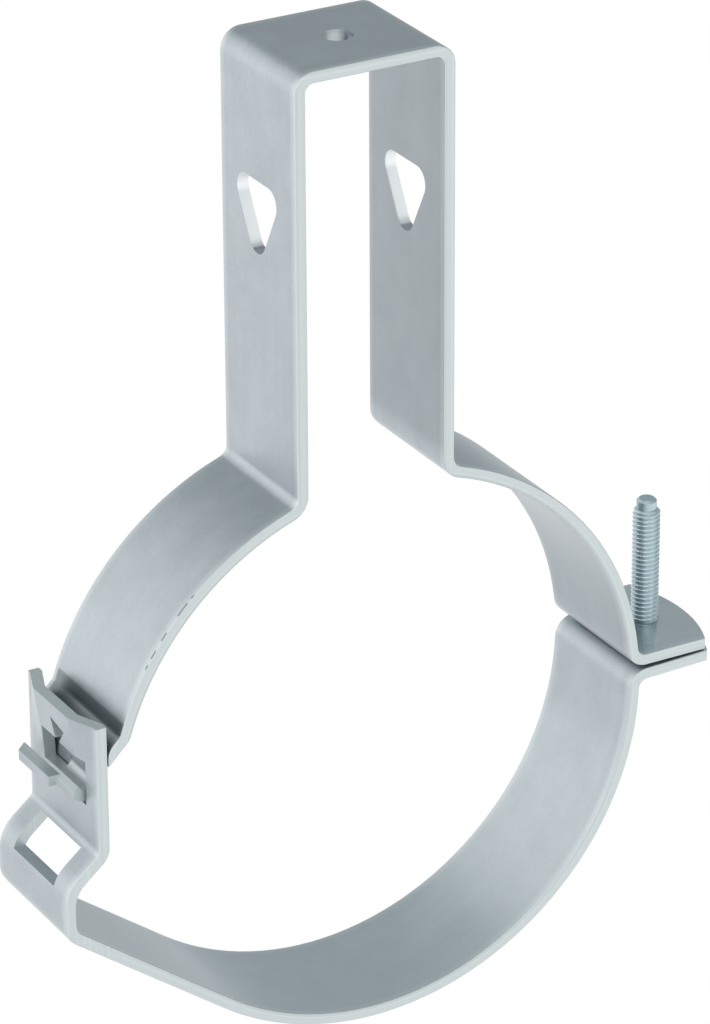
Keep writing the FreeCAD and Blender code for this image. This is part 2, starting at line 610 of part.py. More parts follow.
lower = doc.addObject("PartDesign::Body", "lower_half")
lower.Label = "lower_half"
lower.Placement = FreeCAD.Placement()
spine = lower_spine(lower)
section = new_sketch(lower, "lower_section", "XY_Plane", "sizes.channel_foot")
INNER = "-(sizes.plate_reach - sizes.strip_thick)"
OUTER = "-sizes.plate_reach"
outline(section, "corner", (
    (OUTER, "-" + EDGE),
    (INNER, "-" + EDGE),
    (INNER, EDGE),
    (OUTER, EDGE),
))


def channel_section(name, level, depth):
    """Plan outline of the latch plate with its middle pushed outwards by a depth."""
    sketch = new_sketch(lower, name, "XY_Plane", level)
    floor = "sizes.channel_floor / 2"
    inner_floor = "(sizes.channel_floor / 2 - sizes.channel_shift)"
    wall = " + sizes.channel_wall"
    outline(sketch, "corner", (
        (OUTER, "-" + EDGE),
        (OUTER, "-(" + floor + wall + ")"),
        (OUTER + depth, "-" + floor),
        (OUTER + depth, floor),
        (OUTER, floor + wall),
        (OUTER, EDGE),
        (INNER, EDGE),
        (INNER, inner_floor + wall),
        (INNER + depth, inner_floor),
        (INNER + depth, "-" + inner_floor),
        (INNER, "-(" + inner_floor + wall + ")"),
        (INNER, "-" + EDGE),
    ))
    return sketch


sweep(lower, spine, section, "lower_strip")
foot = channel_section("channel_start", "sizes.channel_foot", "")
head = channel_section("channel_end", "sizes.plate_top", " - sizes.channel_depth")
channel = lower.newObject("PartDesign::AdditiveLoft", "channel")
channel.Profile = foot
channel.Sections = [head]
channel.Ruled = True
doc.recompute()
ease_edges(lower, channel, "lower_edges")

window(lower, "bulge_window", (
    ("-sizes.window_width / 2", "sizes.window_foot"),
    ("sizes.window_width / 2", "sizes.window_foot"),
    ("sizes.window_width / 2", "sizes.window_top"),
    ("-sizes.window_width / 2", "sizes.window_top"),
))
window(lower, "latch_slot", (
    ("-sizes.slot_front", "sizes.slot_foot"),
    ("sizes.slot_step_back", "sizes.slot_foot"),
    ("sizes.slot_step_back", "sizes.slot_step"),
    ("sizes.slot_back", "sizes.slot_step"),
    ("sizes.slot_back_top", "sizes.tooth_level"),
    ("sizes.tooth_tip", "sizes.tooth_level"),
    ("sizes.notch_back", "sizes.notch_level"),
    ("-sizes.notch_front", "sizes.notch_foot"),
    ("-sizes.notch_root", "sizes.slot_top"),
    ("-sizes.slot_front_top", "sizes.slot_top"),
))
flange_end(lower, "lower_flange_end", "sizes.flange_reach + sizes.flange_extra")

# Long hole in the lower flange: the flange swings past the screw without touching it
slot = new_sketch(lower, "flange_slot_outline", "XY_Plane")
near = size("screw_offset")
far = near + size("flange_slot")
wide = size("screw_dia") / 2 + size("screw_pass")
quarter = math.pi / 2
slot.addGeometry(Part.ArcOfCircle(Part.Circle(V(near, 0, 0), V(0, 0, 1), wide), quarter, 3 * quarter), False)
slot.addGeometry(Part.ArcOfCircle(Part.Circle(V(far, 0, 0), V(0, 0, 1), wide), -quarter, quarter), False)
slot.addGeometry(Part.LineSegment(V(near, -wide, 0), V(far, -wide, 0)), False)
slot.addGeometry(Part.LineSegment(V(far, wide, 0), V(near, wide, 0)), False)
for one, end, two, start in ((0, 2, 2, 1), (2, 2, 1, 1), (1, 2, 3, 1), (3, 2, 0, 1)):
    slot.addConstraint(Sketcher.Constraint("Tangent", one, end, two, start))
dimension(slot, "radius", "sizes.screw_dia / 2 + sizes.screw_pass", "Radius", 0, wide)
place(slot, "near", 0, 3, "sizes.screw_offset", "0")
place(slot, "far", 1, 3, "sizes.screw_offset + sizes.flange_slot", "0")
cut_through(lower, slot, "flange_slot", both_ways=True)
finish(lower)

# Clamp screw: hexagon head under the lower flange, plain shank, dog point

screw = doc.addObject("PartDesign::Body", "clamp_screw")
screw.Label = "clamp_screw"
screw.setExpression("Placement.Base.x", expand("sizes.screw_offset"))
INSIDE = "(sizes.screw_offset - sizes.head_flats / sqrt(3))"
HEAD_TOP = (
    "sizes.flange_level - sizes.flange_gap - sizes.head_gap"
    " - sizes.strip_thick / cos(sizes.flange_tilt * 1 deg)"
    f" - (sizes.flange_reach - {INSIDE}) * tan(sizes.flange_tilt * 1 deg)"
)
hexagon = new_sketch(screw, "head_outline", "XY_Plane", HEAD_TOP + " - sizes.head_height")
CORNER = "sizes.head_flats / sqrt(3)"
HALF = "sizes.head_flats / sqrt(3) / 2"
FLAT = "sizes.head_flats / 2"
outline(hexagon, "corner", (
    (CORNER, "0"),
    (HALF, FLAT),
    ("-" + HALF, FLAT),
    ("-" + CORNER, "0"),
    ("-" + HALF, "-" + FLAT),
    (HALF, "-" + FLAT),
))
head = screw.newObject("PartDesign::Pad", "head")
head.Profile = hexagon
head.setExpression("Length", "sizes.head_height")
doc.recompute()


def rod(name, radius, level, length):
    """A round length of the screw, from a level upwards."""
    sketch = new_sketch(screw, name + "_outline", "XY_Plane", level)
    circle = Part.Circle(V(0, 0, 0), V(0, 0, 1), evaluate(radius))
    sketch.addGeometry(circle, False)
    dimension(sketch, "radius", radius, "Radius", 0, evaluate(radius))
    sketch.addConstraint(Sketcher.Constraint("Coincident", 0, 3, -1, 1))
    pad = screw.newObject("PartDesign::Pad", name)
    pad.Profile = sketch
    pad.setExpression("Length", expand(length))
    doc.recompute()
    return pad


rod("shank", "sizes.screw_dia / 2", HEAD_TOP, "sizes.screw_length - sizes.dog_length")
dog_level = HEAD_TOP + " + sizes.screw_length - sizes.dog_length"
dog = rod("dog", "sizes.dog_dia / 2", dog_level, "sizes.dog_length")
rims = []
for number, edge in enumerate(dog.Shape.Edges, start=1):
    box = edge.BoundBox
    levels = (evaluate(dog_level), evaluate(dog_level + " + sizes.dog_length"))
    outer = abs(box.XLength - size("screw_dia")) < 0.01 and abs(box.ZMin - levels[0]) < 0.01
    tip = abs(box.XLength - size("dog_dia")) < 0.01 and abs(box.ZMin - levels[1]) < 0.01
    if box.ZLength < 0.01 and (outer or tip):
        rims.append(f"Edge{number}")
chamfer = screw.newObject("PartDesign::Chamfer", "end_chamfers")
chamfer.Base = (dog, rims)
chamfer.setExpression("Size", "sizes.tip_chamfer")
finish(screw)

os.makedirs("parts", exist_ok=True)
for body in (upper, lower, screw):
    body.Shape.exportStep(f"parts/{body.Label}.step")
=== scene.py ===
# %% [markdown]
# # Pipe bracket
#
# The real bracket is bent from two lengths of flat zinc-plated steel. The upper one makes a tall
# yoke, which sits over a rail, and the top of a ring. The lower one makes the rest of the ring.
# They hook into each other on the left, and a long screw draws their flanges together on the
# right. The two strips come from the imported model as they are, so this scene only gives them
# their finish. The screw gets a new shape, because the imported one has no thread.

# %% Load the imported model
import math

import bpy
from mathutils import Matrix, Vector


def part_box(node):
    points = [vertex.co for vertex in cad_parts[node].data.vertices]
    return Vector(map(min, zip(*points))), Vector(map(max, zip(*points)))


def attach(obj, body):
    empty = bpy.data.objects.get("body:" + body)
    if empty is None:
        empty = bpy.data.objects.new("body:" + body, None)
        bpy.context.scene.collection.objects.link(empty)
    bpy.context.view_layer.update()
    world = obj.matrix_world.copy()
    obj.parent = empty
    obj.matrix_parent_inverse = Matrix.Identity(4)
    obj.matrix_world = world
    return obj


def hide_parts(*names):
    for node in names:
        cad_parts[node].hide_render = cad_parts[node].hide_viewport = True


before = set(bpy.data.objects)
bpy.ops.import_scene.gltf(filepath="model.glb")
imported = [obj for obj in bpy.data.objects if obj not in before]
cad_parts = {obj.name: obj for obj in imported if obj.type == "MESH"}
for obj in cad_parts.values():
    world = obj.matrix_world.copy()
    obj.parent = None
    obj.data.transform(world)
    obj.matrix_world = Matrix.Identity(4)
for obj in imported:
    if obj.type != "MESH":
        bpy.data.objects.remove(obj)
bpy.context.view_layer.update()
MM = 0.001

# %% [markdown]
# ## Camera
#
# The picture was taken from the left and a little above, with a long lens from about a metre
# away. The camera could be turned by its angles, but then the small roll and the sideways offset
# would need a second guess. Here its three axes are worked out from the viewing angle, and the
# matrix is set in one go, so the object falls on the same place in the frame.

# %% Camera
AZIMUTH = math.radians(-29.53)
ELEVATION = math.radians(25.54)
ROLL = math.radians(-0.29)
DISTANCE = 1085.76 * MM
ASIDE = Vector((2.2 * MM, 2.49 * MM))
LOOK_AT = Vector((0, 0, 45 * MM))
SENSOR_WIDTH = 36
LENS = 187.96
NEAR, FAR = 0.01, 20

back = Vector((
    math.sin(AZIMUTH) * math.cos(ELEVATION),
    -math.cos(AZIMUTH) * math.cos(ELEVATION),
    math.sin(ELEVATION),
))
level = Vector((math.cos(AZIMUTH), math.sin(AZIMUTH), 0))
upright = back.cross(level)
right = level * math.cos(ROLL) + upright * math.sin(ROLL)
up = upright * math.cos(ROLL) - level * math.sin(ROLL)
eye = LOOK_AT + right * ASIDE.x + up * ASIDE.y + back * DISTANCE

camera_data = bpy.data.cameras.new("camera")
camera_data.sensor_width = SENSOR_WIDTH
camera_data.lens = LENS
camera_data.clip_start = NEAR
camera_data.clip_end = FAR
camera = bpy.data.objects.new("camera", camera_data)
bpy.context.scene.collection.objects.link(camera)
camera.matrix_world = Matrix((right, up, back)).transposed().to_4x4()
camera.location = eye
bpy.context.scene.camera = camera
print("camera at", [round(v, 4) for v in eye])

# %% [markdown]
# ## Light
#
# Bare metal has almost no colour of its own: it shows what stands around it. In the picture the
# faces that mirror the left, the front or the ground are bright, and those that mirror the room's
# upper right are dim. One node group gives that room from a direction. The world and the floor
# both use it, so a face sees the same room whether its mirror ray meets the floor or passes it.
# The camera itself sees plain white, which is set with Light Path, and not with more light.

# %% Helpers for the node trees
def add(tree, kind, **settings):
    """A node with its settings."""
    node = tree.nodes.new(kind)
    for key, value in settings.items():
        setattr(node, key, value)
    return node


def math_node(tree, operation, *values):
    """A math node whose inputs are sockets or plain numbers."""
    node = add(tree, "ShaderNodeMath", operation=operation)
    for slot, value in zip(node.inputs, values):
        if isinstance(value, (int, float)):
            slot.default_value = value
        else:
            tree.links.new(value, slot)
    return node.outputs[0]


def mix_colour(tree, factor, low, high):
    """A colour between two, by a factor that is a socket."""
    node = add(tree, "ShaderNodeMix", data_type="RGBA")
    tree.links.new(factor, node.inputs["Factor"])
    for name, value in (("A", low), ("B", high)):
        if isinstance(value, tuple):
            node.inputs[name].default_value = value
        else:
            tree.links.new(value, node.inputs[name])
    return node.outputs["Result"]


def ramp_value(tree, value, low, high, to_low=0.0, to_high=1.0):
    """A value mapped from one span to another, and kept inside it."""
    node = add(tree, "ShaderNodeMapRange")
    tree.links.new(value, node.inputs["Value"])
    for name, number in (("From Min", low), ("From Max", high), ("To Min", to_low), ("To Max", to_high)):
        node.inputs[name].default_value = number
    return node.outputs["Result"]


# %% Node group: room
BRIGHT_SIDE = (-0.60, -0.30, -0.70)
ROOM = (
    (0.08, (0.41, 0.455, 0.47, 1)),
    (0.19, (0.44, 0.485, 0.50, 1)),
    (0.29, (0.84, 0.88, 0.89, 1)),
    (0.40, (1.10, 1.12, 1.11, 1)),
    (0.52, (1.20, 1.22, 1.20, 1)),
    (0.68, (0.97, 0.98, 1.0, 1)),
)
room = bpy.data.node_groups.new("room", "ShaderNodeTree")
room.interface.new_socket("Direction", in_out="INPUT", socket_type="NodeSocketVector")
room.interface.new_socket("Colour", in_out="OUTPUT", socket_type="NodeSocketColor")
inside = add(room, "NodeGroupInput")
outside = add(room, "NodeGroupOutput")
towards = add(room, "ShaderNodeVectorMath", operation="DOT_PRODUCT")
room.links.new(inside.outputs["Direction"], towards.inputs[0])
towards.inputs[1].default_value = BRIGHT_SIDE
ramp = add(room, "ShaderNodeValToRGB")
room.links.new(ramp_value(room, towards.outputs["Value"], -1.0, 1.0), ramp.inputs[0])
while len(ramp.color_ramp.elements) < len(ROOM):
    ramp.color_ramp.elements.new(0.5)
for stop, (position, colour) in zip(ramp.color_ramp.elements, ROOM):
    stop.position = position
    stop.color = colour
room.links.new(ramp.outputs["Color"], outside.inputs["Colour"])
print("room:", [round(stop.position, 2) for stop in ramp.color_ramp.elements])

# %% World
WHITE = (1, 1, 1, 1)
scene = bpy.context.scene
scene.view_settings.view_transform = "Standard"
world = bpy.data.worlds.new("studio")
scene.world = world
world.use_nodes = True
world_tree = world.node_tree
world_tree.nodes.clear()
direction = add(world_tree, "ShaderNodeTexCoord").outputs["Generated"]
around = add(world_tree, "ShaderNodeGroup", node_tree=room)
world_tree.links.new(direction, around.inputs["Direction"])
seen = add(world_tree, "ShaderNodeLightPath")
sky = add(world_tree, "ShaderNodeBackground")
shown = mix_colour(world_tree, seen.outputs["Is Camera Ray"], around.outputs["Colour"], WHITE)
world_tree.links.new(shown, sky.inputs["Color"])
world_tree.links.new(sky.outputs[0], add(world_tree, "ShaderNodeOutputWorld").inputs[0])
print("world:", len(world_tree.nodes), "nodes")


# %% Lamps
def soft_lamp(name, at, width, power):
    """A square area lamp that faces the middle of the bracket."""
    data = bpy.data.lights.new(name, "AREA")
    data.shape = "SQUARE"
    data.size = width
    data.energy = power
    lamp = bpy.data.objects.new(name, data)
    bpy.context.scene.collection.objects.link(lamp)
    lamp.location = at
    lamp.rotation_euler = (LOOK_AT - lamp.location).to_track_quat("-Z", "Y").to_euler()


soft_lamp("key", at=Vector((-1.0, -0.7, 0.25)), width=0.7, power=1.5)
soft_lamp("rear", at=Vector((-0.9, 1.2, -0.1)), width=0.9, power=0.35)

# %% [markdown]
# ## Floor
#
# The bracket hangs from a rail, so nothing in the picture touches the ground. A pale floor well
# below it keeps the soft shadow out of the frame. The camera sees it as white, and mirror rays
# see the room's colour there. All other rays meet an ordinary matt floor.

# %% Floor
FLOOR = -0.32
FLOOR_WIDTH = 9
bpy.ops.object.select_all(action="DESELECT")
bpy.ops.mesh.primitive_plane_add(size=FLOOR_WIDTH, location=(0, 0, FLOOR))
floor = bpy.context.object
floor.name = "floor"
bpy.ops.object.transform_apply(location=True, rotation=True, scale=True)
print("floor at", FLOOR)

# %% Floor material
pale = bpy.data.materials.new("pale_floor")
pale.use_nodes = True
floor_tree = pale.node_tree
matt = floor_tree.nodes["Principled BSDF"]
matt.inputs["Base Color"].default_value = (0.85, 0.86, 0.87, 1)
matt.inputs["Roughness"].default_value = 0.9
incoming = add(floor_tree, "ShaderNodeNewGeometry").outputs["Incoming"]
away = add(floor_tree, "ShaderNodeVectorMath", operation="SCALE")
floor_tree.links.new(incoming, away.inputs[0])
away.inputs["Scale"].default_value = -1.0
around = add(floor_tree, "ShaderNodeGroup", node_tree=room)
floor_tree.links.new(away.outputs[0], around.inputs["Direction"])
seen = add(floor_tree, "ShaderNodeLightPath")
glow = add(floor_tree, "ShaderNodeEmission")
shown = mix_colour(floor_tree, seen.outputs["Is Camera Ray"], around.outputs["Colour"], WHITE)
floor_tree.links.new(shown, glow.inputs["Color"])
mix = add(floor_tree, "ShaderNodeMixShader")
bright = math_node(floor_tree, "MAXIMUM", seen.outputs["Is Camera Ray"], seen.outputs["Is Glossy Ray"])
floor_tree.links.new(bright, mix.inputs[0])
floor_tree.links.new(matt.outputs[0], mix.inputs[1])
floor_tree.links.new(glow.outputs[0], mix.inputs[2])
floor_tree.links.new(mix.outputs[0], floor_tree.nodes["Material Output"].inputs["Surface"])
floor.data.materials.append(pale)
print("floor material:", len(floor_tree.nodes), "nodes")

# %% [markdown]
# ## What the two finishes share
#
# Rolled steel carries faint lines along its length, and a thin zinc coat has a fine cloudy bloom.
# Both finishes need them at different strengths, so they are one node group with named inputs.
# The strips run in the X-Z plane all round the bracket, so noise that changes fast along Y and
# slowly along X and Z draws lines that follow every bend.

# %% Helpers for patterns
def product(tree, first, *others):
    """The product of sockets and plain numbers."""
    for other in others:
        first = math_node(tree, "MULTIPLY", first, other)
    return first


def noise(tree, position, stretch, scale, detail=3.0):
    """Noise on a position that is stretched along the axes, from about -0.5 to 0.5."""
    scaled = add(tree, "ShaderNodeVectorMath", operation="MULTIPLY")
    tree.links.new(position, scaled.inputs[0])
    scaled.inputs[1].default_value = stretch
    texture = add(tree, "ShaderNodeTexNoise")
    texture.inputs["Scale"].default_value = scale
    texture.inputs["Detail"].default_value = detail
    tree.links.new(scaled.outputs[0], texture.inputs["Vector"])
    return math_node(tree, "SUBTRACT", texture.outputs["Fac"], 0.5)


# %% Node group: rolled zinc
FINE_LINES = (0.02, 1.0, 0.02)
BROAD_LINES = (0.03, 1.0, 0.03)
EVEN = (1.0, 1.0, 1.0)
FINE_SHARE = 0.6
GRAIN_SHARE = 1.1
GRAIN_RELIEF = 0.3
rolled = bpy.data.node_groups.new("rolled_zinc", "ShaderNodeTree")
rolled.interface.new_socket("Position", in_out="INPUT", socket_type="NodeSocketVector")
for name in ("Lines", "Bloom"):
    rolled.interface.new_socket(name, in_out="INPUT", socket_type="NodeSocketFloat")
for name in ("Tone", "Height"):
    rolled.interface.new_socket(name, in_out="OUTPUT", socket_type="NodeSocketFloat")
inside = add(rolled, "NodeGroupInput")
outside = add(rolled, "NodeGroupOutput")
spot = inside.outputs["Position"]
fine = noise(rolled, spot, FINE_LINES, scale=2600)
broad = noise(rolled, spot, BROAD_LINES, scale=420)
cloud = noise(rolled, spot, EVEN, scale=130, detail=4.0)
grain = noise(rolled, spot, EVEN, scale=2400, detail=2.0)
lines = math_node(rolled, "ADD", product(rolled, fine, FINE_SHARE), broad)
lines = product(rolled, lines, inside.outputs["Lines"])
bloom = math_node(rolled, "ADD", cloud, product(rolled, grain, GRAIN_SHARE))
bloom = product(rolled, bloom, inside.outputs["Bloom"])
relief = math_node(rolled, "ADD", lines, product(rolled, grain, GRAIN_RELIEF))
rolled.links.new(math_node(rolled, "ADD", lines, bloom), outside.inputs["Tone"])
rolled.links.new(relief, outside.inputs["Height"])
print("rolled_zinc:", len(rolled.nodes), "nodes")

# %% Zinc material
BUMP_HEIGHT = 0.03 * MM
BUMP_STRENGTH = 0.35
ROUGH_SWING = 0.06


def zinc_material(name, dark, light, lines, bloom, rough, metal):
    """The shared start of both finishes: mottled zinc, with roughness and bump from the group."""
    material = bpy.data.materials.new(name)
    material.use_nodes = True
    tree = material.node_tree
    shader = tree.nodes["Principled BSDF"]
    shader.inputs["Metallic"].default_value = metal
    place = add(tree, "ShaderNodeTexCoord").outputs["Object"]
    group = add(tree, "ShaderNodeGroup", node_tree=rolled)
    tree.links.new(place, group.inputs["Position"])
    group.inputs["Lines"].default_value = lines
    group.inputs["Bloom"].default_value = bloom
    tone = ramp_value(tree, group.outputs["Tone"], -0.5, 0.5)
    colour = mix_colour(tree, tone, dark, light)
    roughness = ramp_value(tree, tone, 0.0, 1.0, rough - ROUGH_SWING, rough + ROUGH_SWING)
    bump = add(tree, "ShaderNodeBump")
    bump.inputs["Distance"].default_value = BUMP_HEIGHT
    bump.inputs["Strength"].default_value = BUMP_STRENGTH
    tree.links.new(group.outputs["Height"], bump.inputs["Height"])
    tree.links.new(bump.outputs[0], shader.inputs["Normal"])
    return material, tree, shader, place, colour, roughness


# %% [markdown]
# ## Zinc-plated strip
#
# The broad faces are a cool grey with a soft sheen. The narrow edges and the walls of the holes
# were cut, so they are brighter, with faint lines that run along the cut. They could be a material
# of their own, but it is easier to find them by place and direction: an edge lies more than
# 14.7 mm from the middle of the strip, and a wall faces along Y far more than a broad face does,
# even on the slanted flanks of the channel in the latch plate.

# %% Strip material
strip_steel, strip_tree, shader, place, colour, roughness = zinc_material(
    "galvanised_strip", dark=(0.37, 0.405, 0.43, 1), light=(0.55, 0.60, 0.63, 1),
    lines=0.26, bloom=0.62, rough=0.33, metal=0.85)


def times(*values):
    """The product of masks and numbers in the strip's tree."""
    return product(strip_tree, *values)


def plus(first, second):
    """The sum of two values in the strip's tree."""
    return math_node(strip_tree, "ADD", first, second)


def rise(value, start, end):
    """0 where a distance is at its start, and 1 where it is at its end, both in millimetres."""
    return ramp_value(strip_tree, value, start * MM, end * MM)


def inside_span(value, low, high, soft, unit=MM):
    """1 inside a span of a value and 0 outside, with soft ends."""
    opens = ramp_value(strip_tree, value, (low - soft) * unit, low * unit)
    closes = ramp_value(strip_tree, value, high * unit, (high + soft) * unit, 1.0, 0.0)
    return times(opens, closes)


# %% Places and directions on the strips
apart = add(strip_tree, "ShaderNodeSeparateXYZ")
strip_tree.links.new(place, apart.inputs[0])
x, y, z = (apart.outputs[name] for name in "XYZ")
across = math_node(strip_tree, "ABSOLUTE", y)
radius = math_node(strip_tree, "SQRT", plus(times(x, x), times(z, z)))
facing = add(strip_tree, "ShaderNodeSeparateXYZ")
strip_tree.links.new(add(strip_tree, "ShaderNodeTexCoord").outputs["Normal"], facing.inputs[0])
upward = facing.outputs["Z"]
sideward = math_node(strip_tree, "ABSOLUTE", facing.outputs["Y"])
print("strip material so far:", len(strip_tree.nodes), "nodes")

# %% [markdown]
# The lines on a cut edge run along the strip, so they are noise on the depth in the strip's
# thickness. On the ring that depth is the distance from the pipe's axis. Where the strip leaves
# the ring it is a distance along X, Z or the straight run's normal, so it is put together zone by
# zone.

# %% Lines on the cut edges
RUN_SLOPE = math.radians(36.5)
CUT_LINES = 1500
SHEARED_DARK = (0.53, 0.575, 0.58, 1)
SHEARED_LIGHT = (0.74, 0.795, 0.80, 1)
run_depth = plus(times(x, math.sin(RUN_SLOPE)), times(z, math.cos(RUN_SLOPE)))
zones = {
    "legs of the yoke": (rise(z, 58.5, 59.5), x),
    "top of the yoke": (rise(z, 147.8, 148.4), z),
    "flanges": (rise(x, 63.5, 65.0), z),
    "latch": (rise(x, -61.9, -62.5), x),
    "straight run": (times(rise(z, -30.0, -31.0), rise(x, -35.6, -36.0)), run_depth),
}
depth = radius
for zone, distance in zones.values():
    blend = add(strip_tree, "ShaderNodeMix")
    for name, socket in (("Factor", zone), ("A", depth), ("B", distance)):
        strip_tree.links.new(socket, blend.inputs[name])
    depth = blend.outputs["Result"]
cut = add(strip_tree, "ShaderNodeTexNoise", noise_dimensions="1D")
strip_tree.links.new(depth, cut.inputs["W"])
cut.inputs["Scale"].default_value = CUT_LINES
cut.inputs["Detail"].default_value = 2
sheared = mix_colour(strip_tree, cut.outputs["Fac"], SHEARED_DARK, SHEARED_LIGHT)
print("zones of the cut edges:", ", ".join(zones))

# %% [markdown]
# The cut faces get that colour. The latch plate's top edge is a cut face too, and it faces
# upwards. Beside each cut edge the broad face is painted a little paler, a painted highlight where
# the rolled rim catches the light, and the walls of the two wedge holes are the brightest cuts of
# all.

# %% Cut faces and rims
RIM_HIGHLIGHT_TONE = (0.82, 0.87, 0.88, 1)
RIM_HIGHLIGHT_SHARE = 0.32
WEDGE_TONE = (0.95, 0.97, 0.98, 1)
edge = rise(across, 14.65, 14.95)
wall = ramp_value(strip_tree, sideward, 0.48, 0.62)
top_cut = times(ramp_value(strip_tree, upward, 0.5, 0.8), rise(x, -61.5, -62.0), rise(z, 1.0, 3.0))
bare = math_node(strip_tree, "MAXIMUM", math_node(strip_tree, "MAXIMUM", edge, wall), top_cut)
# Painted highlight: the broad face beside each cut edge is painted paler.
rim_highlight = times(rise(across, 13.0, 14.7), RIM_HIGHLIGHT_SHARE)
in_wedge = times(wall, inside_span(z, 90.0, 130.0, 2.0), inside_span(y, -13.0, 13.0, 0.5))
colour = mix_colour(strip_tree, rim_highlight, colour, RIM_HIGHLIGHT_TONE)
colour = mix_colour(strip_tree, bare, colour, sheared)
colour = mix_colour(strip_tree, in_wedge, colour, WEDGE_TONE)
print("strip material so far:", len(strip_tree.nodes), "nodes")

# %% [markdown]
# A few marks go on top, with painted light and shade. The upper flange's top face gets a painted
# highlight, paler, and is made smoother, and the upward faces at the bottom of the ring, where the
# pipe rests, get a paler painted highlight too. The inner sides of the right leg and the right arc
# get painted shade. The strip just above the latch gets a painted reflection of the plate's dim
# inner side. And the front rim of the left arc has a few short nicks, which are found by their
# angle round the ring, counted in degrees upwards from the left.

# %% Marks, painted light and painted shade on the strips
NICKS = ((42.6, 45.2), (37.2, 38.6), (33.4, 34.8), (31.2, 31.8), (46.6, 47.0))
NICK_SOFT = 0.344
no_edge = math_node(strip_tree, "SUBTRACT", 1.0, edge)
# Painted highlight on the upper flange's top face, which is also made smoother.
flange_top_highlight = times(inside_span(z, 5.4, 5.7, 0.1), rise(x, 63.0, 70.0))
# Painted highlight on the upward faces at the bottom of the ring.
bed_highlight = times(rise(z, -34.0, -56.0), ramp_value(strip_tree, upward, 0.1, 0.5), no_edge)
# Painted shade on the inner sides of the right leg and the right arc, which face each other.
shaded_leg = times(inside_span(x, 14.2, 14.7, 0.2), rise(z, 62.0, 65.0), no_edge)
shaded_arc = times(inside_span(radius, 59.0, 60.3, 0.2), rise(x, 14.0, 18.0), rise(z, 2.0, 10.0), no_edge)
# Painted reflection: the strip above the latch is painted dark, as a copy of the plate's dim inner side.
painted_reflection = times(
    inside_span(x, -64.0, -54.0, 0.5), inside_span(y, -14.2, 13.3, 0.8),
    inside_span(z, 16.0, 21.1, 0.6), rise(radius, 60.8, 61.2))
turn = math_node(strip_tree, "ARCTAN2", z, times(x, -1.0))
nicked = inside_span(turn, *NICKS[0], NICK_SOFT, unit=math.radians(1))
for nick in NICKS[1:]:
    nicked = plus(nicked, inside_span(turn, *nick, NICK_SOFT, unit=math.radians(1)))
nicked = times(nicked, inside_span(y, -14.85, -14.55, 0.1), rise(radius, 61.8, 62.1))
print("marks:", len(NICKS), "nicks and 5 patches")

# %% Finished strips
# Masks and their colours: the nicks are real marks, the rest are painted shade, painted highlights and a
# painted reflection.
MARKS_AND_PAINTED_LIGHT = (
    (times(nicked, 0.7), (0.12, 0.14, 0.15, 1)),
    (plus(times(shaded_leg, 0.26), times(shaded_arc, 0.22)), (0.10, 0.12, 0.13, 1)),
    (plus(times(flange_top_highlight, 0.35), times(bed_highlight, 0.30)), (0.86, 0.93, 0.95, 1)),
    (times(painted_reflection, 0.62), (0.10, 0.125, 0.13, 1)),
)
for mask, tone in MARKS_AND_PAINTED_LIGHT:
    colour = mix_colour(strip_tree, mask, colour, tone)
strip_tree.links.new(colour, shader.inputs["Base Color"])
ROUGHER_CUT = 0.12
# The flange top under its painted highlight is also made smoother.
SMOOTHER_FLANGE_TOP = -0.14
roughness = plus(roughness, plus(times(bare, ROUGHER_CUT), times(flange_top_highlight, SMOOTHER_FLANGE_TOP)))
strip_tree.links.new(roughness, shader.inputs["Roughness"])
for node in ("upper_half", "lower_half"):
    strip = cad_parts[node]
    strip.data.materials.clear()
    strip.data.materials.append(strip_steel)
print("strip material:", len(strip_tree.nodes), "nodes")

# %% [markdown]
# ## Screw
#
# The clamp screw is a plain M6 set screw with a hexagon head under the lower flange and a short
# dog point at its upper end. A thread could be drawn with the Screw modifier, but its ends would
# stay open. Here a grid is wrapped round the axis, and each ring of points is pushed in and out
# as the thread passes, so the thread runs out softly at both ends and the skin stays closed.

# %% Screw sizes
low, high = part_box("clamp_screw")
AXIS = Vector(((low[0] + high[0]) / 2, (low[1] + high[1]) / 2, 0))
HEAD_FOOT = low[2]
HEAD_TOP = low[2] + 4.0 * MM
TIP = high[2]
CREST = 2.95 * MM
ROOT = 2.36 * MM
PITCH = 1.0 * MM
DOG = 2.15 * MM
THREAD_END = TIP - 2.3 * MM
print("screw from", round(HEAD_TOP * 1000, 2), "to", round(TIP * 1000, 2), "mm")

# %% Thread
CREST_FLAT = 0.10
FLANK = 0.74
PLAIN_NECK = 1.2 * MM
RUN_IN = 0.8 * MM
POINT_STEP = 0.15 * MM


def rod_radius(height, turn):
    """Radius of the threaded rod at a height and a part of a turn, from 0 to 1."""
    phase = (height / PITCH - turn) % 1.0
    tooth = abs(2 * phase - 1)
    flank = min(max((tooth - CREST_FLAT) / FLANK, 0.0), 1.0)
    started = min(max((height - HEAD_TOP - PLAIN_NECK) / RUN_IN, 0.0), 1.0)
    threaded = CREST - (CREST - ROOT) * flank * started
    return min(threaded, DOG + POINT_STEP + THREAD_END - height)


# %% Rod
AROUND = 48
RINGS_PER_TURN = 14
POINT = {
    THREAD_END + 0.02 * MM: DOG,
    TIP - 0.5 * MM: DOG,
    TIP - 0.05 * MM: DOG - 0.45 * MM,
    TIP: DOG - 0.5 * MM,
}
rings = []
height = HEAD_TOP - 0.2 * MM
while height < THREAD_END - 0.01 * MM:
    rings.append(height)
    height += PITCH / RINGS_PER_TURN
rings += [THREAD_END, *POINT]

